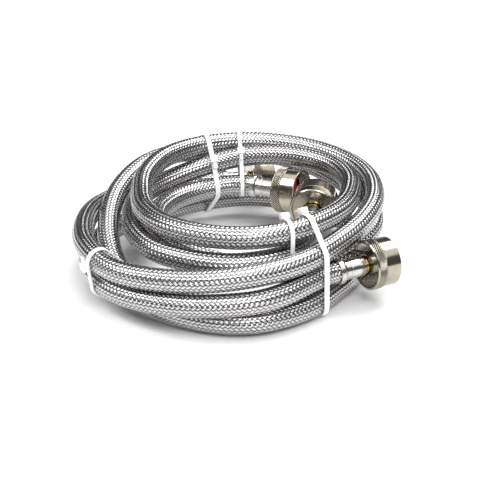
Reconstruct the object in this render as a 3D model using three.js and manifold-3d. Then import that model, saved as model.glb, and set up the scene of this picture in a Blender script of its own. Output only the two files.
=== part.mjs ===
// Two braided washing-machine supply hoses, coiled together and held by five cable ties.
// Each hose is a steel braid over a rubber liner. Each end has a crimped ferrule, a brass
// tailpiece with a flange, a sealing washer and a swivel nut for a 3/4 inch hose thread.
// Millimetres, +Z up. The coil lies on z = 0 with the middle of its box over the origin.

import * as THREE from 'three';
import { mergeVertices } from 'three/addons/utils/BufferGeometryUtils.js';
import Module from 'manifold-3d';

const wasm = await Module();
wasm.setup();

// Driving dimensions
const HOSE_RADIUS = 7.5;
const BRAID_BORE_RADIUS = 6.45;
const LINER_RADIUS = 6.1;
const LINER_BORE_RADIUS = 5.05;
const HOSE_SIDES = 10;
const STATION_DEGREES = 45;
const STEPS_PER_STATION = 2;

// Distances along an end are measured from where the full-size hose stops.
const FERRULE = { lipStart: -4.2, lipEnd: 0.3, length: 15.5, lipRadius: 8.6, radius: 6.6, bore: 4.8 };
const STEM = { start: -12, radius: 4.4, bore: 3.3, neckStart: 15.8, neckRadius: 5.2 };
const FLANGE = { start: 21, thickness: 2, radius: 11.8 };
const WASHER = { start: 23.3, thickness: 3, radius: 12.1, bore: 6.4 };
const NUT = { start: 18, length: 18, wall: 2.6, hole: 7, bandRadius: 16.7, bandEnd: 25.2, rimRadius: 16 };
const THREAD = { start: 27.2, pitch: 2.2, turns: 3, majorRadius: 13.6, minorRadius: 12.7 };
const NUT_SIDES = 24;
const STEM_SIDES = 16;

const STRAP = { thickness: 1.1, gap: 0.7 };
const TIE_HEAD = { width: 5.4, length: 5.2, height: 4.4, sink: 0.3 };

// The coil's own axis stands off the origin so that the box of the whole part is centred.
const COIL_AXIS = { x: 10.9, y: -22 };
// The lowest strands lie this much higher than their heights say, on the ties' straps.
const STRAP_REST = 2.15;

// Where the hoses run. A coil is a radius and a height at every 45 degrees, counterclockwise
// seen from above, from its first azimuth. The points before and after it are x, y and z
// from the coil's axis, and the first and last of them are the hose's two ends.
const HOSE_1 = {
  before: [[6, 66.2, 34.6], [-3.2, 71.2, 34], [-16, 74.6, 32.4], [-34.5, 69.5, 30.5]],
  firstAzimuth: 135,
  coil: [
    [76.5, 29.5], [65, 33], [63, 33], [62, 26], [59, 19], [84, 30], [97, 37.5], [115, 45],
    [106, 50], [97.5, 32], [98, 11], [99, 7.3], [77, 7.3], [76, 7.6], [92, 11], [102, 12.5],
    [96, 13], [108, 17], [115.5, 18.9], [103, 22.4],
  ],
  after: [[19, -94, 23.2], [36, -78.5, 24.2], [48.5, -66, 24.6], [59, -60.5, 24.6]],
};
const HOSE_2 = {
  before: [[-18, 128, 15.6], [-42, 121, 15.8]],
  firstAzimuth: 135,
  coil: [
    [117, 25], [113, 34.5], [117, 34.5], [98, 38.2], [77.5, 41], [84.5, 49.5], [97, 54.8],
    [102.5, 57], [87, 59], [74, 54], [77, 54], [76, 54.5], [66, 54], [68, 53], [82.5, 54.5],
    [83, 52.5], [90.5, 38.5], [81, 39], [84, 38],
  ],
  after: [
    [-30, -77, 38], [-9, -80, 38], [12, -74, 38], [29, -59, 37], [37, -38, 34.6],
    [38.4, -15.8, 32], [40.6, -4, 33.8],
  ],
};

// Ends of the hoses: the point where each stops, and the route's next point back along the hose.
const ENDS = [
  { name: 'a', point: HOSE_1.before[0], inside: HOSE_1.before[1], washer: 'hot' },
  { name: 'b', point: HOSE_2.after.at(-1), inside: HOSE_2.after.at(-2), washer: 'cold' },
  { name: 'c', point: HOSE_1.after.at(-1), inside: HOSE_1.after.at(-2), washer: 'hot' },
  { name: 'd', point: HOSE_2.before[0], inside: HOSE_2.before[1], washer: 'cold' },
];

// Each tie lies in an upright plane at one azimuth, round the strands there whose radius and
// height are within its reach. Its head sits at headAngle: 0 is outward and 90 is up.
const TIES = [
  { azimuth: 215, width: 3.6, headAngle: -5, radii: [90, 125], heights: [10, 45] },
  { azimuth: 110, width: 3.6, headAngle: 142, radii: [60, 120], heights: [0, 70] },
  { azimuth: 95, width: 2.8, headAngle: 135, radii: [60, 110], heights: [20, 70] },
  { azimuth: 289.5, width: 2.8, headAngle: 125, radii: [60, 78], heights: [30, 70] },
  { azimuth: 302, width: 3.6, headAngle: 115, radii: [50, 90], heights: [0, 70] },
];

const MATERIALS = {
  braid: new THREE.MeshStandardMaterial({ color: 0xb9babc, roughness: 0.35, metalness: 1 }),
  liner: new THREE.MeshStandardMaterial({ color: 0x1c1c1e, roughness: 0.8, metalness: 0 }),
  ferrule: new THREE.MeshStandardMaterial({ color: 0xc9c8c4, roughness: 0.3, metalness: 1 }),
  brass: new THREE.MeshStandardMaterial({ color: 0xc9a64f, roughness: 0.3, metalness: 1 }),
  nickel: new THREE.MeshStandardMaterial({ color: 0xcfc8ba, roughness: 0.22, metalness: 1 }),
  hotWasher: new THREE.MeshStandardMaterial({ color: 0x9c1526, roughness: 0.6, metalness: 0 }),
  coldWasher: new THREE.MeshStandardMaterial({ color: 0x26282a, roughness: 0.7, metalness: 0 }),
  nylon: new THREE.MeshStandardMaterial({ color: 0xf1efe8, roughness: 0.4, metalness: 0 }),
};

const model = new THREE.Group();

function addMesh(parent, name, geometry, material) {
  const mesh = new THREE.Mesh(geometry, material);
  mesh.name = name;
  parent.add(mesh);
  return mesh;
}

// A point given from the coil's axis, in the part's own frame.
function placed(x, y, z) {
  return new THREE.Vector3(COIL_AXIS.x + x, COIL_AXIS.y + y, z + STRAP_REST);
}

// The coiled stretch: radius and height ease from station to station while the azimuth turns.
function coilPoints(hose) {
  const stations = hose.coil.map(([radius, height]) => new THREE.Vector3(radius, height, 0));
  const eased = new THREE.CatmullRomCurve3(stations, false, 'catmullrom');
  const steps = (stations.length - 1) * STEPS_PER_STATION;
  const points = [];
  for (let step = 0; step <= steps; step += 1) {
    const { x: radius, y: height } = eased.getPoint(step / steps);
    const degrees = hose.firstAzimuth + (step * STATION_DEGREES) / STEPS_PER_STATION;
    const azimuth = THREE.MathUtils.degToRad(degrees);
    points.push(placed(radius * Math.cos(azimuth), radius * Math.sin(azimuth), height));
  }
  return points;
}

// A smooth curve whose equal parameter steps land on its own points.
class RouteCurve extends THREE.CatmullRomCurve3 {
  getUtoTmapping(u) {
    return u;
  }
}

function hoseRoute(hose) {
  const before = hose.before.map((point) => placed(...point));
  const after = hose.after.map((point) => placed(...point));
  return new RouteCurve([...before, ...coilPoints(hose), ...after]);
}

function polygonPoints(radius, sides) {
  const points = [];
  for (let side = 0; side < sides; side += 1) {
    const angle = (2 * Math.PI * side) / sides;
    points.push(new THREE.Vector2(radius * Math.cos(angle), radius * Math.sin(angle)));
  }
  return points;
}

// An open tube along a route: a polygon with a polygonal bore.
function tubeGeometry(route, radius, boreRadius) {
  const section = new THREE.Shape(polygonPoints(radius, HOSE_SIDES));
  section.holes.push(new THREE.Path(polygonPoints(boreRadius, HOSE_SIDES)));
  return new THREE.ExtrudeGeometry(section, {
    steps: route.points.length - 1,
    extrudePath: route,
    curveSegments: 1,
  });
}

function addHose(name, hose) {
  const route = hoseRoute(hose);
  addMesh(model, `${name}_braid`, tubeGeometry(route, HOSE_RADIUS, BRAID_BORE_RADIUS), MATERIALS.braid);
  addMesh(model, `${name}_liner`, tubeGeometry(route, LINER_RADIUS, LINER_BORE_RADIUS), MATERIALS.liner);
}

// A turned piece: a closed outline of radius and distance along the end, spun about the end's axis.
function turned(outline, sides) {
  const points = outline.map(([radius, along]) => new THREE.Vector2(radius, along));
  return new THREE.LatheGeometry([...points, points[0].clone()], sides);
}

function ferruleGeometry() {
  const { lipStart, lipEnd, length, lipRadius, radius, bore } = FERRULE;
  const lipBore = HOSE_RADIUS + 0.35;
  return turned([
    [lipBore, lipStart], [lipRadius, lipStart + 0.4], [lipRadius, lipEnd - 0.6], [radius, lipEnd + 2],
    [radius, length - 0.6], [radius - 0.6, length], [bore, length], [bore, lipEnd], [lipBore, lipEnd],
  ], STEM_SIDES);
}

function tailpieceGeometry() {
  const { start, radius, bore, neckStart, neckRadius } = STEM;
  const flangeEnd = FLANGE.start + FLANGE.thickness;
  return turned([
    [bore, start], [radius - 0.6, start], [radius, start + 2], [radius, neckStart],
    [neckRadius, neckStart + 0.3], [neckRadius, FLANGE.start], [FLANGE.radius, FLANGE.start],
    [FLANGE.radius, flangeEnd], [bore + 1, flangeEnd], [bore, flangeEnd - 1.5],
  ], STEM_SIDES);
}

function washerGeometry() {
  const end = WASHER.start + WASHER.thickness;
  return turned([
    [WASHER.bore, WASHER.start], [WASHER.radius, WASHER.start], [WASHER.radius, end], [WASHER.bore, end],
  ], STEM_SIDES);
}

// The nut's thread is a stack of ring grooves at the pitch of the real one.
function threadOutline() {
  const points = [];
  for (let turn = 0; turn < THREAD.turns; turn += 1) {
    const along = THREAD.start + turn * THREAD.pitch;
    points.push([THREAD.majorRadius, along]);
    points.push([THREAD.minorRadius, along + THREAD.pitch / 2]);
  }
  points.push([THREAD.majorRadius, THREAD.start + THREAD.turns * THREAD.pitch]);
  return points;
}

function nutGeometry() {
  const { start, length, wall, hole, bandRadius, bandEnd, rimRadius } = NUT;
  const end = start + length;
  return turned([
    [hole, start], [bandRadius - 1.6, start], [bandRadius, start + 1.2], [bandRadius, bandEnd],
    [rimRadius, bandEnd + 0.5], [rimRadius, end - 0.7], [rimRadius - 0.7, end],
    [THREAD.majorRadius + 0.9, end], ...threadOutline().reverse(),
    [THREAD.majorRadius, start + wall], [hole, start + wall],
  ], NUT_SIDES);
}

function addEnd({ name, point, inside, washer }) {
  const end = new THREE.Group();
  end.position.copy(placed(...point));
  const axis = end.position.clone().sub(placed(...inside)).normalize();
  end.quaternion.setFromUnitVectors(new THREE.Vector3(0, 1, 0), axis);
  model.add(end);
  addMesh(end, `ferrule_${name}`, ferruleGeometry(), MATERIALS.ferrule);
  addMesh(end, `tailpiece_${name}`, tailpieceGeometry(), MATERIALS.brass);
  addMesh(end, `washer_${name}`, washerGeometry(), MATERIALS[`${washer}Washer`]);
  addMesh(end, `nut_${name}`, nutGeometry(), MATERIALS.nickel);
}

// Convex outline round a set of points, counterclockwise (Andrew's monotone chain).
function convexOutline(points) {
  const sorted = [...points].sort((p, q) => p.x - q.x || p.y - q.y);
  const turn = (a, b, c) => (b.x - a.x) * (c.y - a.y) - (b.y - a.y) * (c.x - a.x);
  const halfOutline = (ordered) => {
    const kept = [];
    for (const point of ordered) {
      while (kept.length > 1 && turn(kept.at(-2), kept.at(-1), point) <= 1e-6) kept.pop();
      kept.push(point);
    }
    return kept.slice(0, -1);
  };
  return [...halfOutline(sorted), ...halfOutline(sorted.reverse())];
}

// Where the hoses pass through the upright half-plane at one azimuth: the middle of each
// strand and how far it slants, both as radius and height.
function strandsAt(azimuth) {
  const outward = new THREE.Vector3(Math.cos(azimuth), Math.sin(azimuth), 0);
  const across = new THREE.Vector3(-Math.sin(azimuth), Math.cos(azimuth), 0);
  const axis = new THREE.Vector3(COIL_AXIS.x, COIL_AXIS.y, 0);
  const strands = [];
  for (const { points } of [hoseRoute(HOSE_1), hoseRoute(HOSE_2)]) {
    const offsets = points.map((point) => point.clone().sub(axis));
    for (let step = 1; step < offsets.length; step += 1) {
      const [from, to] = [offsets[step - 1], offsets[step]];
      const [sideFrom, sideTo] = [from.dot(across), to.dot(across)];
      if (sideFrom < 0 !== sideTo < 0) {
        const middle = from.clone().lerp(to, sideFrom / (sideFrom - sideTo));
        const slant = to.clone().sub(from).divideScalar(sideTo - sideFrom);
        strands.push({
          middle: new THREE.Vector2(middle.dot(outward), middle.z),
          slant: new THREE.Vector2(slant.dot(outward), slant.z),
        });
      }
    }
  }
  return strands;
}

function strandsHeld({ azimuth, radii, heights }) {
  return strandsAt(THREE.MathUtils.degToRad(azimuth)).filter(({ middle }) => (
    middle.x > radii[0] && middle.x < radii[1] && middle.y > heights[0] && middle.y < heights[1]
  ));
}

// The line that a taut strap takes at one distance from all the strands. A slanting strand
// reaches further out, as a cut across it is an ellipse that shifts over the strap's width.
function strapLine({ strands, width }, distance) {
  const corners = strands.flatMap(({ middle, slant }) => polygonPoints(1, 16).map((way) => {
    const shift = Math.abs(slant.dot(way));
    const reach = HOSE_RADIUS * Math.hypot(1, shift) + (shift * width) / 2;
    return way.multiplyScalar(reach + distance).add(middle);
  }));
  return convexOutline(corners);
}

function toSolid(geometry) {
  const bare = geometry.clone();
  bare.deleteAttribute('normal');
  bare.deleteAttribute('uv');
  const merged = mergeVertices(bare, 1e-4);
  const vertProperties = new Float32Array(merged.attributes.position.array);
  const triVerts = new Uint32Array(merged.index.array);
  return new wasm.Manifold(new wasm.Mesh({ numProp: 3, vertProperties, triVerts }));
}

function fromSolid(solid) {
  const { vertProperties, triVerts } = solid.getMesh();
  const geometry = new THREE.BufferGeometry();
  geometry.setAttribute('position', new THREE.BufferAttribute(vertProperties, 3));
  geometry.setIndex(new THREE.BufferAttribute(triVerts, 1));
  geometry.computeVertexNormals();
  return geometry;
}

// The locking head: a small block on the outside of the strap, with the trimmed tail through it.
function tieHeadGeometry(outline, headAngle, width) {
  const facing = new THREE.Vector2(1, 0).rotateAround(new THREE.Vector2(), headAngle);
  const seat = outline.reduce((best, point) => (point.dot(facing) > best.dot(facing) ? point : best));
  const head = new THREE.BoxGeometry(TIE_HEAD.height, TIE_HEAD.length, TIE_HEAD.width);
  head.translate(TIE_HEAD.height / 2 - TIE_HEAD.sink, 0, 0);
  const tail = new THREE.BoxGeometry(STRAP.thickness, TIE_HEAD.length + 5, width);
  tail.translate(TIE_HEAD.height / 2, 2.5, 0);
  for (const block of [head, tail]) {
    block.rotateZ(headAngle);
    block.translate(seat.x, seat.y, 0);
  }
  return [head, tail];
}

function tieGeometry(tie) {
  const { width, headAngle } = tie;
  const held = { strands: strandsHeld(tie), width };
  const outline = strapLine(held, STRAP.gap + STRAP.thickness);
  const band = new THREE.Shape(outline);
  band.holes.push(new THREE.Path(strapLine(held, STRAP.gap)));
  const strap = new THREE.ExtrudeGeometry(band, { depth: width, bevelEnabled: false, curveSegments: 1 });
  strap.translate(0, 0, -width / 2);
  const angle = THREE.MathUtils.degToRad(headAngle);
  const blocks = tieHeadGeometry(outline, angle, width);
  const solid = blocks.reduce((sum, block) => sum.add(toSolid(block)), toSolid(strap));
  return fromSolid(solid);
}

function addTie(tie, index) {
  const plane = new THREE.Group();
  plane.position.set(COIL_AXIS.x, COIL_AXIS.y, 0);
  plane.rotation.set(Math.PI / 2, THREE.MathUtils.degToRad(tie.azimuth), 0, 'XYZ');
  model.add(plane);
  addMesh(plane, `tie_${index + 1}`, tieGeometry(tie), MATERIALS.nylon);
}

addHose('hose_1', HOSE_1);
addHose('hose_2', HOSE_2);
ENDS.forEach(addEnd);
TIES.forEach(addTie);

export default model;
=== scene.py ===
"""Looks for two braided washing-machine hoses, coiled together and held by cable ties.

Sizes are millimetres until they go into a mesh or onto an object, which are in metres.
A hose end is described by radii and by distances along it from where the full-size hose stops.
"""

import math

import bmesh
import bpy
import numpy as np
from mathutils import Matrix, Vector


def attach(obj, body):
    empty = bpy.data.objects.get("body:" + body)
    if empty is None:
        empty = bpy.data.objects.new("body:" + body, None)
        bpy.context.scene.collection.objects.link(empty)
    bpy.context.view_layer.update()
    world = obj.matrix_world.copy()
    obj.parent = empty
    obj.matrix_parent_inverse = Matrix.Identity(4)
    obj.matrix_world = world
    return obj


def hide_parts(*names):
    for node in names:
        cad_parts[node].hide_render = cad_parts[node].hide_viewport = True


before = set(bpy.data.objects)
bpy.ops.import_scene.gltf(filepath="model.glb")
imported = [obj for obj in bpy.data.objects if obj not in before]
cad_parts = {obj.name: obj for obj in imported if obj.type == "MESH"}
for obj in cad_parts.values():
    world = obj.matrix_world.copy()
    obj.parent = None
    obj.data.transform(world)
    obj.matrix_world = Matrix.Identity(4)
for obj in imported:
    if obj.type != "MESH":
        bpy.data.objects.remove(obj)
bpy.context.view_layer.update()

MM = 0.001
TURN = 2 * math.pi

# The coil's axis, and how far the straps under it lift it off the floor.
COIL_AXIS = np.array([10.9, -22.0, 0.0])
STRAP_REST = 2.15
STATION_DEGREES = 45
STEPS_PER_STATION = 2

# Where the hoses run. A coil is a radius and a height at every 45 degrees, counterclockwise
# seen from above, from its first azimuth. The points before and after it are x, y and z
# from the coil's axis, and the first and last of them are the hose's two ends.
HOSES = {
    "hose_1": {
        "before": [(6, 66.2, 34.6), (-3.2, 71.2, 34), (-16, 74.6, 32.4), (-34.5, 69.5, 30.5)],
        "first_azimuth": 135,
        "coil": [
            (76.5, 29.5), (65, 33), (63, 33), (62, 26), (59, 19), (84, 30), (97, 37.5), (115, 45),
            (106, 50), (97.5, 32), (98, 11), (99, 7.3), (77, 7.3), (76, 7.6), (92, 11),
            (102, 12.5), (96, 13), (108, 17), (115.5, 18.9), (103, 22.4),
        ],
        "after": [(19, -94, 23.2), (36, -78.5, 24.2), (48.5, -66, 24.6), (59, -60.5, 24.6)],
        "first_end": "a",
        "last_end": "c",
    },
    "hose_2": {
        "before": [(-18, 128, 15.6), (-42, 121, 15.8)],
        "first_azimuth": 135,
        "coil": [
            (117, 25), (113, 34.5), (117, 34.5), (98, 38.2), (77.5, 41), (84.5, 49.5),
            (97, 54.8), (102.5, 57), (87, 59), (74, 54), (77, 54), (76, 54.5), (66, 54),
            (68, 53), (82.5, 54.5), (83, 52.5), (90.5, 38.5), (81, 39), (84, 38),
        ],
        "after": [
            (-30, -77, 38), (-9, -80, 38), (12, -74, 38), (29, -59, 37), (37, -38, 34.6),
            (38.4, -15.8, 32), (40.6, -4, 33.8),
        ],
        "first_end": "d",
        "last_end": "b",
    },
}
HOSE_DIAMETER = 15
CURVE_SAMPLES = 24
WASHER_COLOURS = {"a": "red", "b": "black", "c": "red", "d": "black"}

# The braid: flat carriers of wires, as many each way round the hose. The relief is made of
# each carrier's wave, over two others and under two, and of the crown across its width.
CARRIERS = 18
STEPS_PER_CARRIER = 4
WIRES_PER_CARRIER = 5
CELL_LENGTH = 3.0
BRAID_MIDDLE = 6.85
CARRIER_WAVE = 0.34
CARRIER_CROWN = 0.3
CROWN_FLATNESS = 2.5
RIGHT_HAND_SHIFT = 1
LEFT_HAND_SHIFT = 3
WIRE_BUMP = 0.035
LINER = {"radius": 6.4, "columns": 24, "ring_spacing": 3}

# The nut: its back wall has a hole for the tailpiece, and its knurled band is at the back.
NUT = {
    "start": 18, "end": 36, "wall": 2.6, "hole": 6.3, "band_radius": 16.6, "band_start": 19.0,
    "band_end": 24.8, "rim_radius": 16.0, "mouth_radius": 14.3, "bore": 13.6, "columns": 496,
}
NUT_STEP = {"band": 0.3, "thread": 0.24, "plain": 4.0}
KNURL = {"lines": 62, "depth": 0.45, "slant": 0.6, "ease": 0.5}
THREAD = {"start": 27.2, "end": 35.4, "pitch": 2.209, "depth": 0.95, "ease": 1.2}
FERRULE_COLUMNS = 96
STEM_COLUMNS = 72

# Each tie lies in an upright plane at one azimuth, round the strands there whose radius and
# height are within its reach. Its head sits at head_angle: 0 is outward and 90 is up.
TIES = [
    {"azimuth": 215, "width": 3.6, "head_angle": -5, "radii": (90, 125), "heights": (10, 45)},
    {"azimuth": 110, "width": 3.6, "head_angle": 142, "radii": (60, 120), "heights": (0, 70)},
    {"azimuth": 95, "width": 2.8, "head_angle": 135, "radii": (60, 110), "heights": (20, 70)},
    {"azimuth": 289.5, "width": 2.8, "head_angle": 125, "radii": (60, 78), "heights": (30, 70)},
    {"azimuth": 302, "width": 3.6, "head_angle": 115, "radii": (50, 90), "heights": (0, 70)},
]
STRAP = {"thickness": 1.1, "gap": 0.3, "step": 0.9, "directions": 48}
TIE_HEAD = {"width": 5.4, "length": 5.2, "height": 4.4, "sink": 0.6, "bevel": 0.6}
TIE_TAIL = {"behind": 0.6, "ahead": 4.5, "side_room": 0.2, "lift": 0.1, "bevel": 0.25}

CAMERA = {"elevation": 24, "distance": 800, "aim": (0, -17, 20), "lens": 84.672, "sensor": 36}
FLOOR_REACH = 6000


# --- Curves -------------------------------------------------------------------------------

def placed(points):
    """Points given from the coil's axis, in the part's own frame."""
    return np.array(points, float) + COIL_AXIS + (0, 0, STRAP_REST)


def with_ghost_ends(points):
    """The points with one more before and after them, straight on."""
    return np.vstack([2 * points[0] - points[1], points, 2 * points[-1] - points[-2]])


def hermite(start, end, leave, arrive, t):
    """The cubic from start to end, with the given directions at its two ends."""
    t2, t3 = t * t, t * t * t
    return (
        (2 * t3 - 3 * t2 + 1) * start + (t3 - 2 * t2 + t) * leave
        + (3 * t2 - 2 * t3) * end + (t3 - t2) * arrive
    )


def eased_stations(stations, steps):
    """A uniform Catmull-Rom curve through the stations, at steps points for each of them."""
    knots = with_ghost_ends(np.array(stations, float))
    rows = []
    for k in range(1, len(knots) - 2):
        before, start, end, after = knots[k - 1:k + 3]
        for step in range(steps):
            rows.append(hermite(start, end, (end - before) / 2, (after - start) / 2, step / steps))
    rows.append(knots[-2])
    return np.array(rows)


def centripetal(points, samples):
    """A smooth curve through the points, at samples places between each two."""
    knots = with_ghost_ends(points)
    t = (np.arange(samples) / samples)[:, None]
    rows = []
    for k in range(1, len(knots) - 2):
        a, b, c, d = knots[k - 1:k + 3]
        gaps = [math.sqrt(np.linalg.norm(q - p)) for p, q in ((a, b), (b, c), (c, d))]
        leave = (b - a) / gaps[0] - (c - a) / (gaps[0] + gaps[1]) + (c - b) / gaps[1]
        arrive = (c - b) / gaps[1] - (d - b) / (gaps[1] + gaps[2]) + (d - c) / gaps[2]
        rows.append(hermite(b, c, leave * gaps[1], arrive * gaps[1], t))
    return np.vstack(rows + [knots[-2][None]])


def route_points(hose):
    """The points that a hose's middle line runs through, in the part's own frame."""
    coil = eased_stations(hose["coil"], STEPS_PER_STATION)
    step = STATION_DEGREES / STEPS_PER_STATION
    azimuth = np.radians(hose["first_azimuth"] + step * np.arange(len(coil)))
    turns = np.column_stack([coil[:, 0] * np.cos(azimuth), coil[:, 0] * np.sin(azimuth), coil[:, 1]])
    return placed(np.vstack([hose["before"], turns, hose["after"]]))


def path_length(points):
    return np.linalg.norm(np.diff(points, axis=0), axis=1).sum()


def resampled(points, count):
    """The same line with count points at equal distances along it."""
    along = np.append(0, np.cumsum(np.linalg.norm(np.diff(points, axis=0), axis=1)))
    places = np.linspace(0, along[-1], count)
    return np.column_stack([np.interp(places, along, points[:, k]) for k in range(points.shape[1])])


def unit(vectors):
    """The same directions with a length of 1."""
    return vectors / np.linalg.norm(vectors, axis=-1, keepdims=True)


def carried_frames(points):
    """Two crosswise directions at each point, carried along the line without twist."""
    tangents = unit(np.gradient(points, axis=0))
    side = np.cross(tangents[0], (0, 0, 1))
    sides = []
    for tangent in tangents:
        side = side - tangent * (side @ tangent)
        side = side / math.sqrt(side @ side)
        sides.append(side)
    sides = np.array(sides)
    return sides, np.cross(tangents, sides)


# --- Meshes -------------------------------------------------------------------------------

def new_piece(name, verts, faces, material, uvs=None):
    """An object from vertices in millimetres and quads, shaded smooth."""
    mesh = bpy.data.meshes.new(name)
    faces = np.asarray(faces)
    corners = faces.shape[1]
    mesh.vertices.add(len(verts))
    mesh.vertices.foreach_set("co", (np.asarray(verts) * MM).astype(np.float32).ravel())
    mesh.loops.add(faces.size)
    mesh.loops.foreach_set("vertex_index", faces.astype(np.int32).ravel())
    mesh.polygons.add(len(faces))
    mesh.polygons.foreach_set("loop_start", np.arange(0, faces.size, corners, dtype=np.int32))
    mesh.polygons.foreach_set("use_smooth", np.ones(len(faces), bool))
    mesh.update(calc_edges=True)
    if uvs is not None:
        layer = mesh.uv_layers.new(name="Weave")
        layer.data.foreach_set("uv", np.asarray(uvs, np.float32).ravel())
    mesh.validate()
    piece = bpy.data.objects.new(name, mesh)
    bpy.context.collection.objects.link(piece)
    mesh.materials.append(material)
    return piece


def even_normals(piece, sharp_degrees=35):
    """Flat faces stay flat beside small rounded edges."""
    piece.data.set_sharp_from_angle(angle=math.radians(sharp_degrees))
    modifier = piece.modifiers.new("even normals", "WEIGHTED_NORMAL")
    modifier.keep_sharp = True
    modifier.weight = 100


def ring_grid(rows, columns, closed_rows=False):
    """Quads of a grid whose columns close on themselves, and whose rows may."""
    row = np.arange(rows if closed_rows else rows - 1)[:, None]
    column = np.arange(columns)[None]
    above, beside = (row + 1) % rows, (column + 1) % columns
    quads = np.stack(np.broadcast_arrays(
        row * columns + column, row * columns + beside,
        above * columns + beside, above * columns + column,
    ), axis=-1)
    return quads.reshape(-1, 4)


def tube_points(path, radius, columns):
    """Rings of one radius round a path."""
    side, up = carried_frames(path)
    angle = TURN * np.arange(columns) / columns
    spoke = side[:, None] * np.cos(angle)[:, None] + up[:, None] * np.sin(angle)[:, None]
    return (path[:, None] + spoke * radius).reshape(-1, 3)


# --- Materials ----------------------------------------------------------------------------

class Shader:
    """Builds one node material round a Principled BSDF."""

    def __init__(self, name, **sockets):
        self.material = bpy.data.materials.new(name)
        self.material.use_nodes = True
        self.tree = self.material.node_tree
        self.surface = self.tree.nodes["Principled BSDF"]
        for socket, value in sockets.items():
            self.surface.inputs[socket.replace("_", " ")].default_value = value

    def add(self, kind, **settings):
        made = self.tree.nodes.new(kind)
        for key, value in settings.items():
            setattr(made, key, value)
        return made

    def feed(self, socket, value):
        if isinstance(value, bpy.types.NodeSocket):
            self.tree.links.new(value, socket)
        else:
            socket.default_value = value

    def math(self, operation, *values):
        made = self.add("ShaderNodeMath", operation=operation)
        for socket, value in zip(made.inputs, values):
            self.feed(socket, value)
        return made.outputs[0]

    def blend(self, data_type, factor, first, second):
        made = self.add("ShaderNodeMix", data_type=data_type)
        for socket, value in (("Factor", factor), ("A", first), ("B", second)):
            self.feed(made.inputs[socket], value)
        return made.outputs["Result"]

    def mix(self, factor, first, second):
        return self.blend("RGBA", factor, first, second)

    def choose(self, factor, first, second):
        return self.blend("FLOAT", factor, first, second)

    def spread(self, value, low_in, high_in, low_out, high_out):
        made = self.add("ShaderNodeMapRange")
        for socket, number in zip(made.inputs, (value, low_in, high_in, low_out, high_out)):
            self.feed(socket, number)
        return made.outputs[0]

    def noise(self, scale, detail, roughness=0.5):
        made = self.add("ShaderNodeTexNoise")
        self.feed(made.inputs["Vector"], self.add("ShaderNodeTexCoord").outputs["Object"])
        made.inputs["Scale"].default_value = scale
        made.inputs["Detail"].default_value = detail
        made.inputs["Roughness"].default_value = roughness
        return made.outputs["Fac"]

    def random(self, x, y):
        joined = self.add("ShaderNodeCombineXYZ")
        self.feed(joined.inputs[0], x)
        self.feed(joined.inputs[1], y)
        made = self.add("ShaderNodeTexWhiteNoise", noise_dimensions="2D")
        self.feed(made.inputs["Vector"], joined.outputs[0])
        return made.outputs["Value"]

    def round_profile(self, number):
        """Rises from 0 at each whole number to 1 half-way to the next, as a round wire does."""
        offset = self.math("SUBTRACT", self.math("MULTIPLY", self.math("FRACT", number), 2.0), 1.0)
        return self.math("SQRT", self.math("SUBTRACT", 1.0001, self.math("MULTIPLY", offset, offset)))

    def bump(self, height, distance):
        """distance is in millimetres."""
        made = self.add("ShaderNodeBump")
        made.inputs["Strength"].default_value = 1.0
        made.inputs["Distance"].default_value = distance * MM
        self.feed(made.inputs["Height"], height)
        self.feed(self.surface.inputs["Normal"], made.outputs[0])

    def colour(self, value):
        self.feed(self.surface.inputs["Base Color"], value)

    def roughness(self, value):
        self.feed(self.surface.inputs["Roughness"], value)


def braid_material():
    """Flat carriers of bright wires, with painted shade between the wires, between the carriers and
    where one dives under another.
    """
    shader = Shader("woven_steel", Metallic=1.0)
    weave = shader.add("ShaderNodeUVMap", uv_map="Weave")
    split = shader.add("ShaderNodeSeparateXYZ")
    shader.feed(split.inputs[0], weave.outputs[0])
    u, v = split.outputs[0], split.outputs[1]
    cell = shader.math("ADD", shader.math("FLOOR", u), shader.math("FLOOR", v))
    right_hand = shader.math("LESS_THAN", shader.math("FLOORED_MODULO", cell, 4.0), 1.5)
    across = shader.choose(right_hand, v, u)
    along = shader.choose(right_hand, u, v)
    shift = shader.choose(right_hand, float(LEFT_HAND_SHIFT), float(RIGHT_HAND_SHIFT))
    carrier = shader.math("FLOOR", across)
    place = shader.math("SUBTRACT", shader.math("ADD", along, carrier), shift)
    rise = shader.math("COSINE", shader.math("MULTIPLY", place, TURN / 4))
    wire = shader.math("MULTIPLY", across, float(WIRES_PER_CARRIER))
    crown = shader.round_profile(wire)
    width = shader.round_profile(across)
    wire_number = shader.math("FLOOR", wire)
    wire_random = shader.random(wire_number, shader.math("MULTIPLY", right_hand, 37.0))
    over_number = shader.math("FLOOR", shader.math("DIVIDE", shader.math("ADD", place, 2.0), 4.0))
    over_random = shader.random(wire_number, over_number)
    bright = shader.math(
        "ADD", shader.spread(wire_random, 0.0, 1.0, 0.62, 0.76),
        shader.spread(over_random, 0.0, 1.0, -0.03, 0.03))
    # Painted shade: the colour darkens between the wires, between the carriers and where a carrier
    # dives under another.
    painted_groove_shade = shader.spread(crown, 0.2, 0.8, 0.6, 1.0)
    gap = shader.spread(width, 0.15, 0.85, 0.02, 1.0)
    painted_shade_at_dives = shader.spread(rise, 0.0, 0.75, 0.03, 1.0)
    light = shader.math(
        "MULTIPLY", shader.math("MULTIPLY", bright, painted_groove_shade), shader.math("MULTIPLY", gap, painted_shade_at_dives))
    tint = shader.mix(shader.noise(28, 2), (0.97, 0.97, 1.0, 1), (1.0, 0.96, 0.95, 1))
    scaled = shader.add("ShaderNodeVectorMath", operation="SCALE")
    shader.feed(scaled.inputs[0], tint)
    shader.feed(scaled.inputs["Scale"], light)
    shader.colour(scaled.outputs[0])
    shader.roughness(shader.spread(over_random, 0.0, 1.0, 0.16, 0.2))
    shader.bump(crown, WIRE_BUMP)
    return shader.material


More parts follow.
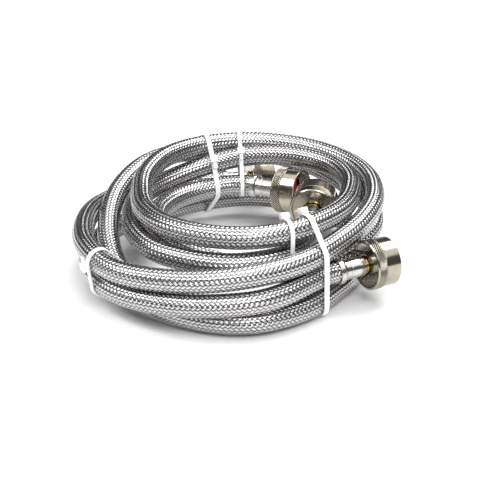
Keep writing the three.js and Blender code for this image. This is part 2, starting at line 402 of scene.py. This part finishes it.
def metal_material(name, colour, tarnish, roughness):
    """Plated or turned metal with faint smudges and a fine grain, and painted shade in its grooves.
    """
    shader = Shader(name, Metallic=1.0)
    smudge = shader.noise(90, 4, 0.6)
    plain = shader.mix(shader.spread(smudge, 0.35, 0.7, 0.0, 1.0), colour, tarnish)
    # Painted shade: the colour turns nearly black where the knurling's grooves are deep.
    painted_groove_shade = shader.add("ShaderNodeAttribute", attribute_name="painted_groove_shade").outputs["Fac"]
    dark = shader.spread(painted_groove_shade, 0.1, 0.7, 0.0, 1.0)
    shader.colour(shader.mix(dark, plain, (0.04, 0.035, 0.03, 1)))
    fine = shader.noise(900, 2)
    shader.roughness(shader.math(
        "ADD", shader.spread(smudge, 0.3, 0.7, roughness * 0.7, roughness * 1.4),
        shader.spread(fine, 0.3, 0.7, -0.02, 0.02)))
    shader.bump(shader.noise(1500, 2), 0.004)
    return shader.material


def rubber_material(name, colour, lighter):
    """Moulded rubber, faintly mottled, with a fine grain."""
    shader = Shader(name, Specular_IOR_Level=0.4)
    shader.colour(shader.mix(shader.noise(400, 4), colour, lighter))
    shader.roughness(shader.spread(shader.noise(250, 3), 0.3, 0.7, 0.45, 0.65))
    shader.bump(shader.noise(1600, 3), 0.03)
    return shader.material


def nylon_material():
    """White nylon: a little light passes through it, and its gloss is soft."""
    shader = Shader("white_nylon", Subsurface_Weight=0.35, Subsurface_Scale=0.0015)
    shader.surface.inputs["Subsurface Radius"].default_value = (1.0, 0.95, 0.85)
    shader.colour(shader.mix(shader.noise(300, 3), (0.86, 0.86, 0.84, 1), (0.93, 0.92, 0.89, 1)))
    shader.roughness(shader.spread(shader.noise(500, 3), 0.3, 0.7, 0.28, 0.42))
    shader.bump(shader.noise(900, 3), 0.03)
    return shader.material


def floor_material():
    """A pale studio floor, nearly even in colour."""
    shader = Shader("pale_floor", Specular_IOR_Level=0.2)
    shader.colour(shader.mix(shader.noise(3, 2), (0.86, 0.86, 0.86, 1), (0.88, 0.88, 0.88, 1)))
    shader.roughness(shader.spread(shader.noise(40, 2), 0.3, 0.7, 0.7, 0.8))
    return shader.material


# --- Camera, floor and lights -------------------------------------------------------------

def add_camera():
    target = Vector(placed([CAMERA["aim"]])[0] * MM)
    elevation = math.radians(CAMERA["elevation"])
    away = Vector((0, -math.cos(elevation), math.sin(elevation)))
    camera = bpy.data.objects.new("camera", bpy.data.cameras.new("camera"))
    camera.location = target + away * CAMERA["distance"] * MM
    camera.rotation_euler = (-away).to_track_quat("-Z", "Y").to_euler()
    camera.data.sensor_width = CAMERA["sensor"]
    camera.data.lens = CAMERA["lens"]
    bpy.context.collection.objects.link(camera)
    bpy.context.scene.camera = camera


def add_floor():
    reach = FLOOR_REACH
    corners = [(-reach, -reach, 0), (reach, -reach, 0), (reach, reach, 0), (-reach, reach, 0)]
    floor = new_piece("floor", corners, [(0, 1, 2, 3)], floor_material())


def add_sun(name, from_direction, strength, spread_degrees):
    """A soft light from far away, which lights the floor evenly."""
    lamp = bpy.data.objects.new(name, bpy.data.lights.new(name, "SUN"))
    lamp.data.energy = strength
    lamp.data.angle = math.radians(spread_degrees)
    lamp.rotation_euler = (-Vector(from_direction)).to_track_quat("-Z", "Y").to_euler()
    bpy.context.collection.objects.link(lamp)


def add_lights():
    """A dim, cool sky and four soft suns, which leave the floor nearly white."""
    world = bpy.data.worlds.new("studio")
    world.use_nodes = True
    background = world.node_tree.nodes["Background"]
    background.inputs["Color"].default_value = (0.9, 0.92, 1.0, 1)
    background.inputs["Strength"].default_value = 0.12
    bpy.context.scene.world = world
    bpy.context.scene.view_settings.view_transform = "Standard"
    add_sun("key", (0.45, 0.5, 1.0), 1.5, 36)
    add_sun("left", (-0.8, -0.1, 0.9), 1.4, 30)
    add_sun("front", (0.25, -0.9, 1.0), 1.5, 30)
    add_sun("top", (0.1, -0.1, 1.0), 2.3, 90)


# --- Hoses --------------------------------------------------------------------------------

def carrier_height(across, along, shift):
    """A carrier is crowned across its width, and passes over two others and under two."""
    carrier = np.floor(across)
    wave = np.cos(TURN / 4 * (along + carrier - shift))
    crown = 1 - np.abs(2 * (across - carrier) - 1) ** CROWN_FLATNESS
    return CARRIER_WAVE * wave + CARRIER_CROWN * crown


def weave_radius(u, v):
    """Right-hand carriers run along v, and left-hand ones along u, two crossings later."""
    right_hand = carrier_height(u, v, RIGHT_HAND_SHIFT)
    left_hand = carrier_height(v, u, LEFT_HAND_SHIFT)
    return BRAID_MIDDLE + np.maximum(right_hand, left_hand)


def weave_faces(rows, columns):
    """Diamond faces between rows that are each shifted by half a column."""
    row = np.arange(1, rows - 1)[:, None]
    place = 2 * np.arange(columns)[None] + (row + 1) % 2
    around = [(row - 1, place), (row, place + 1), (row + 1, place), (row, place - 1)]
    faces = np.stack([r * columns + (q % (2 * columns)) // 2 for r, q in around], axis=-1)
    u = np.stack([q + r for r, q in around], axis=-1) / (2 * STEPS_PER_CARRIER)
    v = np.stack([q - r for r, q in around], axis=-1) / (2 * STEPS_PER_CARRIER)
    return faces.reshape(-1, 4), np.stack([u, v], axis=-1).reshape(-1, 2)


def add_braid(name, line, material):
    """The woven sleeve, and the middle line of its rows."""
    columns = CARRIERS * STEPS_PER_CARRIER
    rows = round(path_length(line) / (CELL_LENGTH / (2 * STEPS_PER_CARRIER))) + 1
    path = resampled(line, rows)
    side, up = carried_frames(path)
    row = np.arange(rows)[:, None]
    place = 2 * np.arange(columns)[None] + row % 2
    angle = TURN * place / (2 * columns)
    u, v = (place + row) / (2 * STEPS_PER_CARRIER), (place - row) / (2 * STEPS_PER_CARRIER)
    spoke = side[:, None] * np.cos(angle)[..., None] + up[:, None] * np.sin(angle)[..., None]
    verts = path[:, None] + spoke * weave_radius(u, v)[..., None]
    faces, uvs = weave_faces(rows, columns)
    braid = new_piece(f"{name}_weave", verts.reshape(-1, 3), faces, material, uvs)
    return braid, path


def add_liner(name, line, material):
    path = resampled(line, round(path_length(line) / LINER["ring_spacing"]))
    return new_piece(
        f"{name}_inner_tube", tube_points(path, LINER["radius"], LINER["columns"]),
        ring_grid(len(path), LINER["columns"]), material)


# --- Hose ends ----------------------------------------------------------------------------

def rounded(corners, segments=4):
    """A closed outline from corners of (radius, along, fillet): each is rounded by its fillet."""
    points = []
    count = len(corners)
    for k, (r, s, fillet) in enumerate(corners):
        here = np.array([r, s], float)
        back = unit(np.array(corners[k - 1][:2], float) - here)
        ahead = unit(np.array(corners[(k + 1) % count][:2], float) - here)
        if fillet == 0:
            points.append(here)
            continue
        half = math.acos(np.clip(back @ ahead, -1, 1)) / 2
        reach = fillet / math.tan(half)
        centre = here + unit(back + ahead) * fillet / math.sin(half)
        start, end = here + back * reach - centre, here + ahead * reach - centre
        for t in np.linspace(0, 1, segments + 1):
            points.append(centre + fillet * unit(start * (1 - t) + end * t))
    return np.array(points)


def divided(points, longest):
    """Splits a closed outline's edges so that none is longer than longest(middle)."""
    rows = []
    for here, ahead in zip(points, np.roll(points, -1, axis=0)):
        pieces = max(1, math.ceil(np.linalg.norm(ahead - here) / longest((here + ahead) / 2)))
        rows.extend(here + (ahead - here) * k / pieces for k in range(pieces))
    return np.array(rows)


class End:
    """One end of a hose: its point, its axis and the pieces turned about that axis."""

    def __init__(self, name, point, inside):
        self.name = name
        self.point = point
        self.axis = unit(point - inside)
        self.side = unit(np.cross(self.axis, (0, 0, 1)))
        self.up = np.cross(self.axis, self.side)
        self.pieces = []

    def turned(self, kind, outline, columns, material, relief=None):
        """Turns an outline. A relief changes its radius and says how deep its grooves are."""
        angle = TURN * np.arange(columns) / columns
        radius = np.broadcast_to(outline[:, :1], (len(outline), columns)).copy()
        along = np.broadcast_to(outline[:, 1:], (len(outline), columns))
        grooves = np.zeros(radius.shape)
        if relief is not None:
            change, grooves = relief(angle[None], radius, along)
            radius += change
        spoke = np.cos(angle)[:, None] * self.side + np.sin(angle)[:, None] * self.up
        verts = self.point + along[..., None] * self.axis + radius[..., None] * spoke[None]
        piece = new_piece(
            f"{kind}_{self.name}_turned", verts.reshape(-1, 3),
            ring_grid(len(outline), columns, closed_rows=True), material)
        # The groove depth, which the metal material turns into painted shade in the grooves.
        layer = piece.data.attributes.new("painted_groove_shade", "FLOAT", "POINT")
        layer.data.foreach_set("value", grooves.astype(np.float32).ravel())
        even_normals(piece)
        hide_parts(f"{kind}_{self.name}")
        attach(piece, f"nut_{self.name}" if kind == "nut" else "hoses")
        self.pieces.append(piece)


def window(along, start, end, ease):
    """1 inside the stretch, easing to 0 at its two ends."""
    return np.clip((along - start) / ease, 0, 1) * np.clip((end - along) / ease, 0, 1)


def smooth_step(t):
    return t * t * (3 - 2 * t)


def knurl_grooves(angle, radius, along):
    """How deep the slanted knurling on the nut's outer band is cut, from 0 to 1."""
    phase = KNURL["lines"] * angle / TURN + KNURL["slant"] * (along - NUT["band_start"])
    band = window(along, NUT["band_start"], NUT["band_end"], KNURL["ease"])
    return (1 - np.abs(np.sin(math.pi * phase))) * band * (radius > NUT["rim_radius"])


def thread_ridges(angle, radius, along):
    """How high the hose thread stands in the nut's bore, from 0 to 1."""
    helix = along / THREAD["pitch"] - angle / TURN
    flank = smooth_step(np.abs(2 * (helix - np.floor(helix)) - 1))
    threaded = window(along, THREAD["start"], THREAD["end"], THREAD["ease"])
    return flank * threaded * (radius < NUT["bore"] + 0.1)


def nut_relief(angle, radius, along):
    """The knurling on the outer band and the thread inside, and the knurling's depth."""
    grooves = knurl_grooves(angle, radius, along)
    ridges = thread_ridges(angle, radius, along)
    return -KNURL["depth"] * grooves - THREAD["depth"] * ridges, grooves


def nut_step(middle):
    """The longest edge that the nut's outline may have there: short where it has relief."""
    radius, along = middle
    if radius > (NUT["rim_radius"] + NUT["band_radius"]) / 2:
        return NUT_STEP["band"]
    if radius < NUT["mouth_radius"] and THREAD["start"] - 0.5 < along:
        return NUT_STEP["thread"]
    return NUT_STEP["plain"]


def nut_outline():
    n = NUT
    corners = [
        (n["hole"], n["start"] + 0.4, 0.3), (n["hole"] + 1.2, n["start"], 0.3),
        (14.4, n["start"] + 0.5, 0.3), (15.1, n["start"], 0.25),
        (16.0, n["start"] + 0.2, 0.3), (n["band_radius"], n["start"] + 0.9, 0.2),
        (n["band_radius"], n["band_end"], 0.15),
        (n["rim_radius"] - 0.25, n["band_end"] + 0.3, 0.15),
        (n["rim_radius"] - 0.25, n["band_end"] + 0.8, 0.15),
        (n["rim_radius"], n["band_end"] + 1.0, 0.2), (n["rim_radius"], n["end"], 0.6),
        (n["mouth_radius"] + 0.2, n["end"], 0.25), (n["bore"], n["end"] - 0.8, 0.2),
        (n["bore"], n["start"] + n["wall"], 0.4), (n["hole"], n["start"] + n["wall"], 0.3),
    ]
    return divided(rounded(corners), nut_step)


def ferrule_outline():
    return rounded([
        (7.5, -4.2, 0.15), (8.3, -4.2, 0.3), (8.45, -1.2, 0.5), (8.1, -0.2, 0.4), (6.75, 0.9, 0.5),
        (6.6, 4.2, 0.2), (6.4, 4.5, 0.2), (6.4, 5.4, 0.2), (6.6, 5.7, 0.2), (6.5, 15.5, 0.7),
        (4.9, 15.5, 0.2), (4.9, 0.4, 0), (7.5, 0.2, 0),
    ])


def tailpiece_outline():
    return rounded([
        (3.3, -12, 0.2), (3.9, -12, 0.2), (4.4, -10, 0), (4.4, 15.7, 0), (5.3, 15.8, 0.2),
        (5.3, 16.6, 0.2), (4.9, 16.8, 0.1), (4.9, 17.2, 0.1), (5.4, 17.4, 0.2), (5.4, 21, 0.2),
        (11.8, 21, 0.3), (11.8, 23, 0.3), (4.3, 23, 0.3), (3.3, 21.6, 0.2),
    ])


def washer_outline():
    return rounded([(6.4, 23.3, 0.4), (12.1, 23.3, 0.5), (12.1, 26.3, 0.5), (6.4, 26.3, 0.4)])


def add_end(name, point, inside, materials):
    """The four fittings of one end."""
    end = End(name, point, inside)
    end.turned("ferrule", ferrule_outline(), FERRULE_COLUMNS, materials["ferrule"])
    end.turned("tailpiece", tailpiece_outline(), STEM_COLUMNS, materials["brass"])
    end.turned("washer", washer_outline(), STEM_COLUMNS, materials[WASHER_COLOURS[name]])
    end.turned("nut", nut_outline(), NUT["columns"], materials["nickel"], nut_relief)
    return end.pieces


# --- Cable ties ---------------------------------------------------------------------------

def plane_directions(azimuth):
    """Outward in the upright plane at an azimuth in degrees, and across that plane."""
    angle = math.radians(azimuth)
    outward = np.array([math.cos(angle), math.sin(angle), 0])
    across = np.array([-math.sin(angle), math.cos(angle), 0])
    return outward, across


def strands_at(azimuth, lines):
    """Each strand's middle and slant, as radius and height, in the half-plane at an azimuth."""
    outward, across = plane_directions(azimuth)
    strands = []
    for line in lines:
        offsets = line - COIL_AXIS
        sides = offsets @ across
        for k in np.flatnonzero((sides[:-1] < 0) != (sides[1:] < 0)):
            share = sides[k] / (sides[k] - sides[k + 1])
            step = offsets[k + 1] - offsets[k]
            middle = offsets[k] + step * share
            slant = step / (sides[k + 1] - sides[k])
            strands.append([np.array([v @ outward, v[2]]) for v in (middle, slant)])
    return strands


def strands_held(tie, lines):
    return [
        (middle, slant) for middle, slant in strands_at(tie["azimuth"], lines)
        if tie["radii"][0] < middle[0] < tie["radii"][1]
        and tie["heights"][0] < middle[1] < tie["heights"][1]
    ]


def convex_outline(points):
    """Corners of the convex outline, counterclockwise (Andrew's monotone chain)."""
    ordered = sorted(map(tuple, points))

    def turns_left(a, b, c):
        return (b[0] - a[0]) * (c[1] - a[1]) - (b[1] - a[1]) * (c[0] - a[0]) > 1e-9

    def half(sequence):
        kept = []
        for point in sequence:
            while len(kept) > 1 and not turns_left(kept[-2], kept[-1], point):
                kept.pop()
            kept.append(point)
        return kept[:-1]

    return np.array(half(ordered) + half(ordered[::-1]))


def strap_line(strands, width, distance):
    """The line of a taut strap at one distance from all its strands. A slanting strand reaches
    further out, as a cut across it is an ellipse that shifts over the strap's width."""
    angle = TURN * np.arange(STRAP["directions"]) / STRAP["directions"]
    ways = np.column_stack([np.cos(angle), np.sin(angle)])
    corners = []
    for middle, slant in strands:
        shift = np.abs(ways @ slant)
        reach = HOSE_DIAMETER / 2 * np.hypot(1, shift) + shift * width / 2
        corners.extend(middle + ways * (reach + distance)[:, None])
    return convex_outline(corners)


def strap_section(width, thickness):
    """A flat strap's cross-section with rounded edges: (across, outward) points."""
    w, t, edge = width / 2, thickness / 2, thickness * 0.3
    corners = [(w, -t, edge), (w, t, edge), (-w, t, edge), (-w, -t, edge)]
    return rounded(corners, segments=3)


def strap_loop(tie, lines):
    """The strap's middle line, and its surface in the tie's plane: radius, height, across."""
    width, thickness = tie["width"], STRAP["thickness"]
    corners = strap_line(strands_held(tie, lines), width, STRAP["gap"] + thickness / 2)
    closed = np.vstack([corners, corners[:1]])
    count = round(path_length(closed) / STRAP["step"])
    loop = resampled(closed, count + 1)[:-1]
    ahead = unit(np.roll(loop, -1, axis=0) - np.roll(loop, 1, axis=0))
    outward = np.column_stack([ahead[:, 1], -ahead[:, 0]])
    section = strap_section(width, thickness)
    flat = loop[:, None] + outward[:, None] * section[None, :, 1:]
    across = np.broadcast_to(section[None, :, :1], flat.shape[:2] + (1,))
    strap = np.concatenate([flat, across], axis=-1).reshape(-1, 3)
    faces = ring_grid(count, len(section), closed_rows=True)
    return loop, strap, faces


def in_space(tie, points):
    """Points of a tie's plane (radius, height, across) in the part's own frame."""
    outward, across = plane_directions(tie["azimuth"])
    return COIL_AXIS + points @ np.array([outward, (0, 0, 1), across])


def seat_block(piece, tie, loop):
    """Moves a block from its own frame to where the head sits on the strap's outside."""
    facing = math.radians(tie["head_angle"])
    normal = np.array([math.cos(facing), math.sin(facing)])
    tangent = np.array([-normal[1], normal[0]])
    seat = loop[np.argmax(loop @ normal)] + normal * STRAP["thickness"] / 2
    own = np.empty(len(piece.data.vertices) * 3, np.float32)
    piece.data.vertices.foreach_get("co", own)
    own = own.reshape(-1, 3) / MM
    plane = seat + own[:, :1] * normal + own[:, 1:2] * tangent
    verts = in_space(tie, np.column_stack([plane, own[:, 2]]))
    piece.data.vertices.foreach_set("co", (verts * MM).astype(np.float32).ravel())
    piece.data.update()


def add_tie(index, tie, lines, material):
    """One cable tie: its strap, its locking head and its trimmed tail."""
    loop, strap, faces = strap_loop(tie, lines)
    name = f"cable_tie_{index + 1}"
    band = new_piece(f"{name}_strap", in_space(tie, strap), faces[:, ::-1], material)
    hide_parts(f"tie_{index + 1}")
    head = tie_head(name, material)
    tail = tie_tail(name, tie, material)
    for piece in (head, tail):
        seat_block(piece, tie, loop)
    for piece in (band, head, tail):
        face_outward(piece)
        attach(piece, "hoses")


def face_outward(piece):
    solid = bmesh.new()
    solid.from_mesh(piece.data)
    bmesh.ops.recalc_face_normals(solid, faces=solid.faces)
    solid.to_mesh(piece.data)
    solid.free()


def rounded_block(name, low, high, bevel, material):
    """A box with rounded edges: outward, along and across, from low to high."""
    solid = bmesh.new()
    bmesh.ops.create_cube(solid, size=1)
    low, high = Vector(low), Vector(high)
    for vert in solid.verts:
        vert.co = Vector(l + (h - l) * (c + 0.5) for l, h, c in zip(low, high, vert.co)) * MM
    bmesh.ops.bevel(
        solid, geom=solid.edges[:], offset=bevel * MM, segments=3, affect="EDGES", profile=0.6)
    mesh = bpy.data.meshes.new(name)
    solid.to_mesh(mesh)
    solid.free()
    mesh.polygons.foreach_set("use_smooth", np.ones(len(mesh.polygons), bool))
    piece = bpy.data.objects.new(name, mesh)
    bpy.context.collection.objects.link(piece)
    mesh.materials.append(material)
    even_normals(piece, 50)
    return piece


def tie_head(name, material):
    size = TIE_HEAD
    low = (-size["sink"], -size["length"] / 2, -size["width"] / 2)
    high = (size["height"] - size["sink"], size["length"] / 2, size["width"] / 2)
    return rounded_block(f"{name}_head", low, high, size["bevel"], material)


def tie_tail(name, tie, material):
    """The trimmed end of the strap, which sticks out of the head."""
    middle = TIE_HEAD["height"] / 2 + TIE_TAIL["lift"]
    half_thickness = STRAP["thickness"] / 2
    half_width = tie["width"] / 2 - TIE_TAIL["side_room"]
    half_head = TIE_HEAD["length"] / 2
    low = (middle - half_thickness, -half_head - TIE_TAIL["behind"], -half_width)
    high = (middle + half_thickness, half_head + TIE_TAIL["ahead"], half_width)
    return rounded_block(f"{name}_tail", low, high, TIE_TAIL["bevel"], material)


# --- Assembly -----------------------------------------------------------------------------

add_camera()
MATERIALS = {
    "braid": braid_material(),
    "liner": rubber_material("grey_rubber", (0.02, 0.02, 0.022, 1), (0.035, 0.035, 0.04, 1)),
    "red": rubber_material("red_rubber", (0.42, 0.012, 0.03, 1), (0.5, 0.02, 0.04, 1)),
    "black": rubber_material("black_rubber", (0.025, 0.025, 0.027, 1), (0.04, 0.04, 0.043, 1)),
    "ferrule": metal_material("stainless", (0.6, 0.59, 0.57, 1), (0.5, 0.49, 0.47, 1), 0.22),
    "brass": metal_material("brass", (0.64, 0.5, 0.22, 1), (0.46, 0.34, 0.13, 1), 0.2),
    "nickel": metal_material("nickel_plate", (0.42, 0.39, 0.33, 1), (0.33, 0.29, 0.22, 1), 0.16),
    "nylon": nylon_material(),
}

middle_lines = []
for hose_name, hose in HOSES.items():
    points = route_points(hose)
    line = centripetal(points, CURVE_SAMPLES)
    middle_lines.append(line)
    braid, path = add_braid(hose_name, line, MATERIALS["braid"])
    liner = add_liner(hose_name, line, MATERIALS["liner"])
    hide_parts(f"{hose_name}_braid")
    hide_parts(f"{hose_name}_liner")
    for piece in (braid, liner):
        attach(piece, "hoses")
    fittings = add_end(hose["first_end"], points[0], points[1], MATERIALS)
    fittings += add_end(hose["last_end"], points[-1], points[-2], MATERIALS)

for index, tie in enumerate(TIES):
    add_tie(index, tie, middle_lines, MATERIALS["nylon"])

add_floor()
add_lights()
